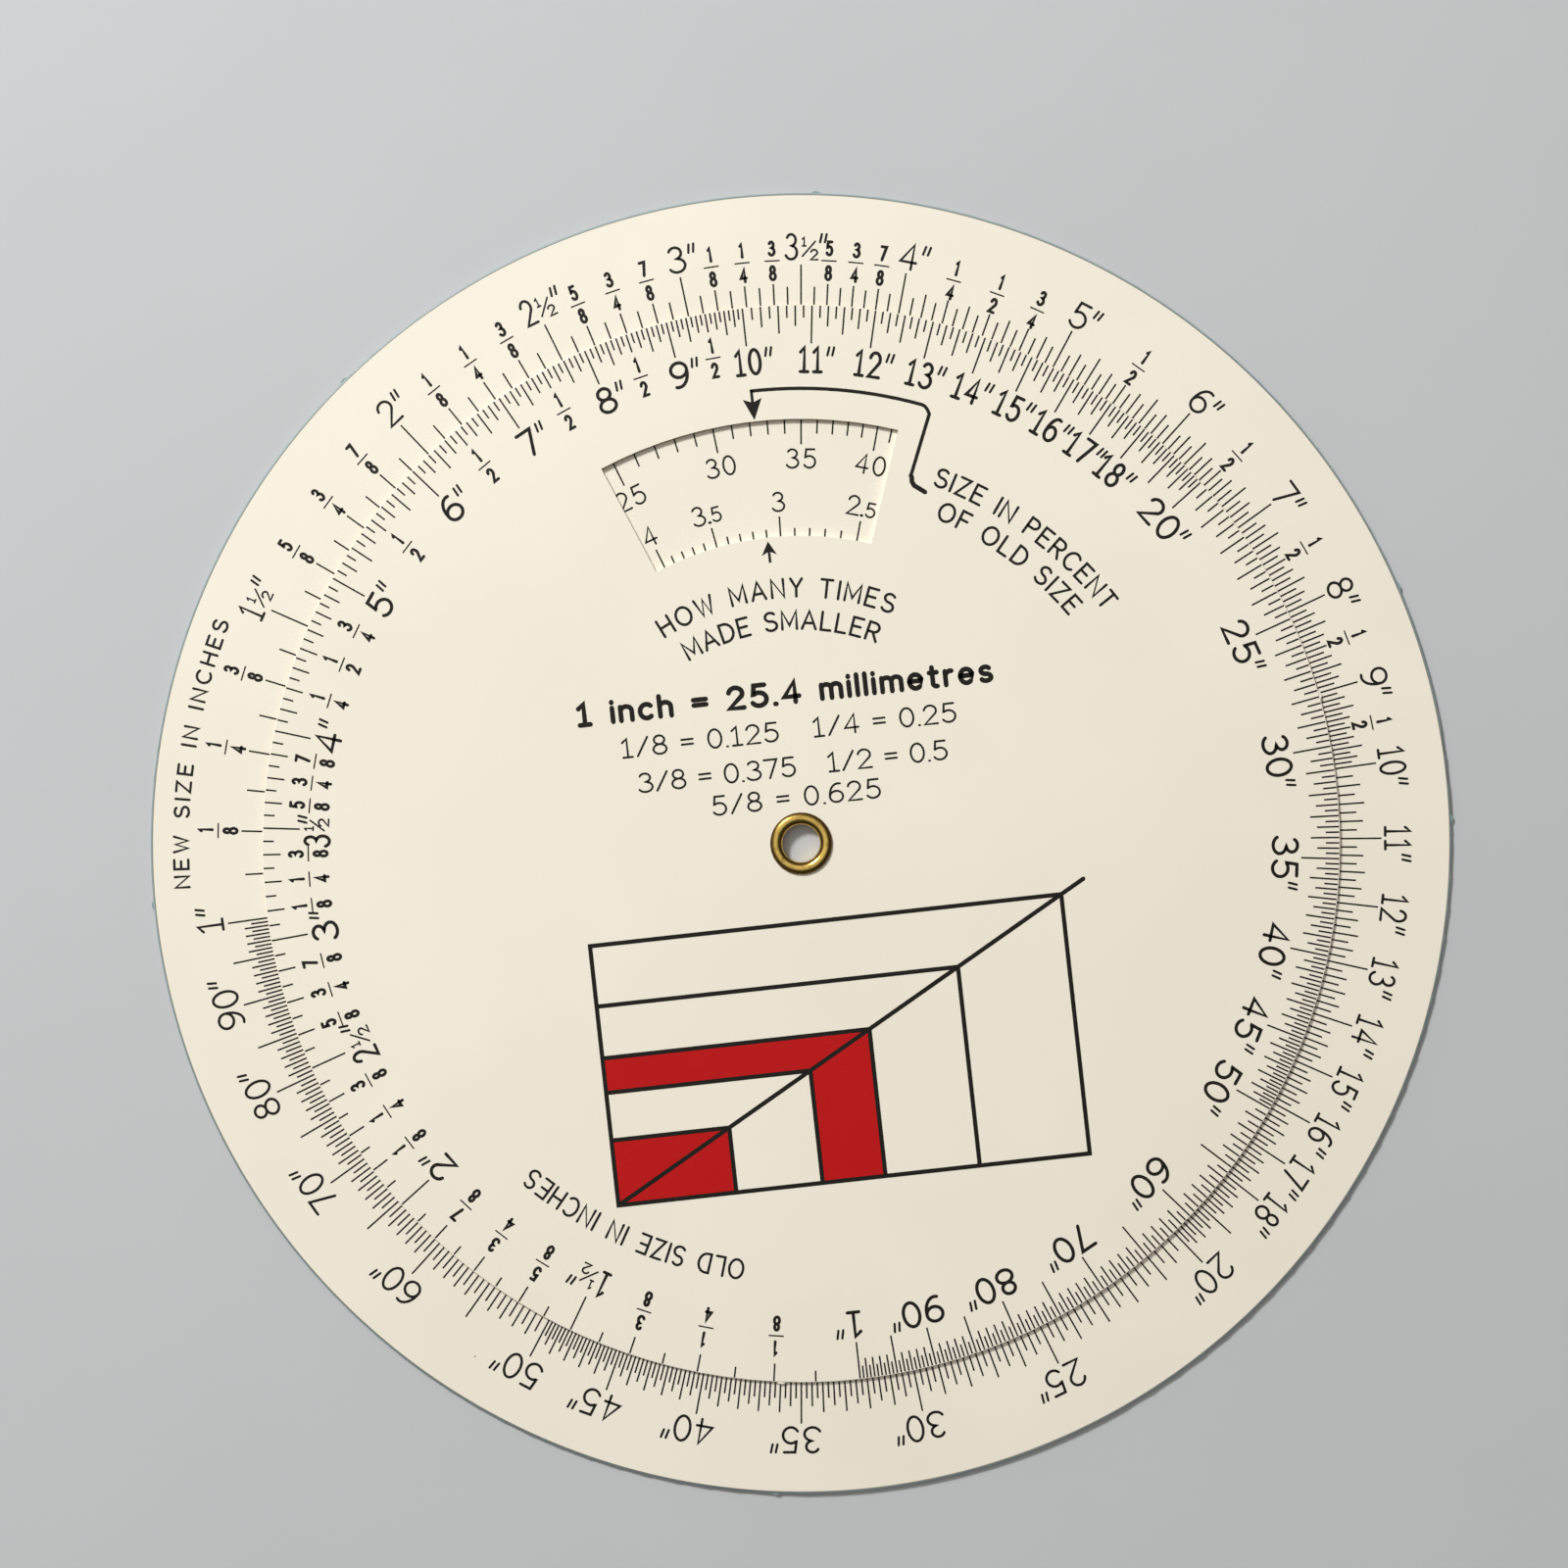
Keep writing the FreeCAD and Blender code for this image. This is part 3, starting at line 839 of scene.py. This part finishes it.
def figure_outlines(sheet):
    """Black outlines of the frames, which share their foot and left side, and the diagonal they lie on."""
    widest = FIGURE_WIDTHS[-1]
    whole = [(0, 0), (widest, 0), (widest, widest), (0, widest), (0, 0)]
    strokes = [([figure_point(*corner) for corner in whole], FIGURE_LINE)]
    for width in FIGURE_WIDTHS[:-1]:
        sides = [(width, 0), (width, width), (0, width)]
        strokes.append(([figure_point(*corner) for corner in sides], FIGURE_LINE))
    reach = widest * DIAGONAL_OVERRUN
    strokes.append(([figure_point(0, 0), figure_point(reach, reach)], FIGURE_LINE))
    sheet.strokes(strokes, on_top_disc)


def figure_fills(sheet):
    """Red: the smallest frame, and the band between the second and the third."""
    small, inner, outer = FIGURE_WIDTHS[:3]
    block = [(0, 0), (small, 0), (small, small), (0, small)]
    sheet.add(slab([figure_point(*corner) for corner in block], [[0, 1, 2, 3]], RED_INK), on_top_disc)
    band = [(inner, 0), (outer, 0), (outer, outer), (0, outer), (0, inner), (inner, inner)]
    band_faces = [[0, 1, 2, 5], [5, 2, 3, 4]]
    sheet.add(slab([figure_point(*corner) for corner in band], band_faces, RED_INK), on_top_disc)


def legends(sheet, lines):
    """Words round the discs."""
    for text, style, radius, start, end in lines:
        sheet.along_arc(text, style, radius, start, end)


def outer_numerals(sheet):
    styles = (OUTER_NUMERALS, OUTER_NARROW, OUTER_TEENS)
    inch_numerals(sheet, BASE_ONE_BEARING, OUTER_NUMERAL_RADIUS, *styles)


def inner_numerals(sheet):
    styles = (INNER_NUMERALS, INNER_NARROW, INNER_TEENS)
    inch_numerals(sheet, TOP_ONE_BEARING, INNER_NUMERAL_RADIUS, *styles, tight=(3,))


def outer_fractions(sheet):
    inch_fractions(sheet, BASE_ONE_BEARING, OUTER_BAR_RADIUS)


def inner_fractions(sheet):
    inch_fractions(sheet, TOP_ONE_BEARING, INNER_BAR_RADIUS)


def print_discs(ink, red):
    """All print that isn't a graduation: piece, body, ink and what draws it."""
    for name, body, colour, draw in (
        ("outer_numerals", "base", ink, outer_numerals),
        ("outer_fractions", "base", ink, outer_fractions),
        ("window_readings", "base", ink, window_readings),
        ("inner_numerals", "top", ink, inner_numerals),
        ("inner_fractions", "top", ink, inner_fractions),
        ("outer_legend", "base", ink, lambda sheet: legends(sheet, OUTER_LEGENDS)),
        ("inner_legends", "top", ink, lambda sheet: legends(sheet, INNER_LEGENDS)),
        ("lead_line", "top", ink, lead_line),
        ("conversion_lines", "top", ink, conversion_lines),
        ("proportion_figure_outlines", "top", ink, figure_outlines),
        ("proportion_figure_red", "top", red, figure_fills),
    ):
        sheet = Print(FACES[body])
        draw(sheet)
        sheet.make(name, body, colour)


# Studio

# The floor: its size, tones and roughness, and the distances in metres over which it runs out into
# the backdrop
FLOOR_SIZE = 8.0
FLOOR_TONE = (0.52, 0.53, 0.55, 1.0)
FLOOR_TONE_LOW = (0.505, 0.515, 0.535, 1.0)
FLOOR_ROUGHNESS = 0.85
FADE_START = 0.2
FADE_END = 0.9

# The key lamp: bearing and elevation in degrees, distance and size in metres, power in watts
KEY_BEARING = 322.0
KEY_ELEVATION = 40.0
KEY_DISTANCE = 1.1
KEY_SIZE = 0.2
KEY_POWER = 11.5
KEY_TONE = (0.99, 1.0, 0.985)

# The sky brightens from one angle to another about its brightest point, given as cosines
SKY_ELEVATION = 62.0
SKY_EDGE = 0.5
SKY_CORE = 0.95
SKY_LOW = 0.06
SKY_HIGH = 0.85
SKY_TONE = (1.0, 0.97, 0.915, 1.0)

# The backdrop round the horizon: its colour, and the sine of the height at which it begins to show
BACKDROP_TONE = (0.70, 0.71, 0.72, 1.0)
BACKDROP_TOP = 0.2


def sky():
    """A soft sky, brightest on the key lamp's side, over a plain pale backdrop at the horizon."""
    world = bpy.data.worlds.new("studio")
    world.use_nodes = True
    tree = world.node_tree
    background = tree.nodes["Background"]
    rise = math.radians(SKY_ELEVATION)
    east, north = bearing_point(KEY_BEARING, math.cos(rise))
    heading = node(tree, "ShaderNodeTexCoord").outputs["Generated"]
    aim = {0: heading, 1: (east, north, math.sin(rise))}
    nearness = node(tree, "ShaderNodeVectorMath", {"operation": "DOT_PRODUCT"}, aim).outputs["Value"]
    strength = remap(tree, nearness, SKY_EDGE, SKY_CORE, SKY_LOW, SKY_HIGH)
    height = node(tree, "ShaderNodeSeparateXYZ", inputs={"Vector": heading}).outputs["Z"]
    band = remap(tree, height, BACKDROP_TOP, BACKDROP_TOP / 2)
    tree.links.new(blend(tree, band, SKY_TONE, BACKDROP_TONE), background.inputs["Color"])
    mixed = node(tree, "ShaderNodeMix", inputs={0: band, 2: strength, 3: 1.0})
    tree.links.new(mixed.outputs[0], background.inputs["Strength"])
    bpy.context.scene.world = world


def floor_finish():
    """Plain pale studio board, which is seen to run out into the backdrop far from the wheel."""
    material, tree, shader, place = blank_material("studio_board")
    board = remap(tree, noise(tree, place, 18.0, 4.0), 0.3, 0.7)
    tree.links.new(blend(tree, board, FLOOR_TONE, FLOOR_TONE_LOW), shader.inputs["Base Color"])
    shader.inputs["Roughness"].default_value = FLOOR_ROUGHNESS
    far = remap(tree, distance_from_axis(tree, place), FADE_START, FADE_END)
    rays = node(tree, "ShaderNodeLightPath").outputs
    seen = math_node(tree, "MAXIMUM", rays["Is Camera Ray"], rays["Is Glossy Ray"])
    seen = math_node(tree, "MAXIMUM", seen, rays["Is Transmission Ray"])
    glow = node(tree, "ShaderNodeEmission", inputs={"Color": BACKDROP_TONE}).outputs[0]
    faded = math_node(tree, "MULTIPLY", far, seen)
    mixed = node(tree, "ShaderNodeMixShader", inputs={0: faded, 1: shader.outputs[0], 2: glow})
    tree.links.new(mixed.outputs[0], tree.nodes["Material Output"].inputs["Surface"])
    return material


def floor():
    """The board that the wheel lies on."""
    half = FLOOR_SIZE / 2
    corners = [(-half, -half, 0), (half, -half, 0), (half, half, 0), (-half, half, 0)]
    mesh = bpy.data.meshes.new("floor")
    mesh.from_pydata(corners, [], [(0, 1, 2, 3)])
    mesh.materials.append(floor_finish())
    board = bpy.data.objects.new("floor", mesh)
    board.location.z = cad_box[0][2]
    bpy.context.scene.collection.objects.link(board)


def key_lamp():
    """A round lamp from the upper left, which shades the window's upper edge."""
    key = bpy.data.lights.new("key", "AREA")
    key.shape = "DISK"
    key.size = KEY_SIZE
    key.energy = KEY_POWER
    key.color = KEY_TONE
    lamp = bpy.data.objects.new("key", key)
    rise = math.radians(KEY_ELEVATION)
    east, north = bearing_point(KEY_BEARING, KEY_DISTANCE * math.cos(rise))
    lamp.location = (east, north, KEY_DISTANCE * math.sin(rise))
    lamp.rotation_euler = (-lamp.location).to_track_quat("-Z", "Y").to_euler()
    bpy.context.scene.collection.objects.link(lamp)


def studio():
    floor()
    key_lamp()
    sky()
    bpy.context.scene.view_settings.view_transform = "Standard"


# The photograph is 1600 pixels square and looks straight down: its scale, the pixel over the wheel's
# axis, and a lens and sensor in millimetres
PHOTO_PIXELS = 1600
PIXELS_PER_MM = 8.046
DISC_CENTRE_PIXEL = (817.5, 860.5)
CAMERA_LENS = 50.0
CAMERA_SENSOR = 36.0
CAMERA_CLIP = 0.01


def camera():
    """Stands straight over the middle of the photograph, as high as its width asks."""
    view = bpy.data.cameras.new("camera")
    view.lens = CAMERA_LENS
    view.sensor_width = CAMERA_SENSOR
    view.clip_start = CAMERA_CLIP
    seen = PHOTO_PIXELS / PIXELS_PER_MM * MM
    eye = bpy.data.objects.new("camera", view)
    east = (PHOTO_PIXELS / 2 - DISC_CENTRE_PIXEL[0]) / PIXELS_PER_MM * MM
    north = (DISC_CENTRE_PIXEL[1] - PHOTO_PIXELS / 2) / PIXELS_PER_MM * MM
    eye.location = (east, north, seen * CAMERA_LENS / CAMERA_SENSOR + BASE_FACE * MM)
    bpy.context.scene.collection.objects.link(eye)
    bpy.context.scene.camera = eye


camera()
studio()
black = ink_finish("black_ink", BLACK_INK, WORN_INK, BLACK_ROUGHNESS)
red = ink_finish("red_ink", RED, RED_THIN, RED_ROUGHNESS)
dress_cad_nodes(black)
print_discs(black, red)
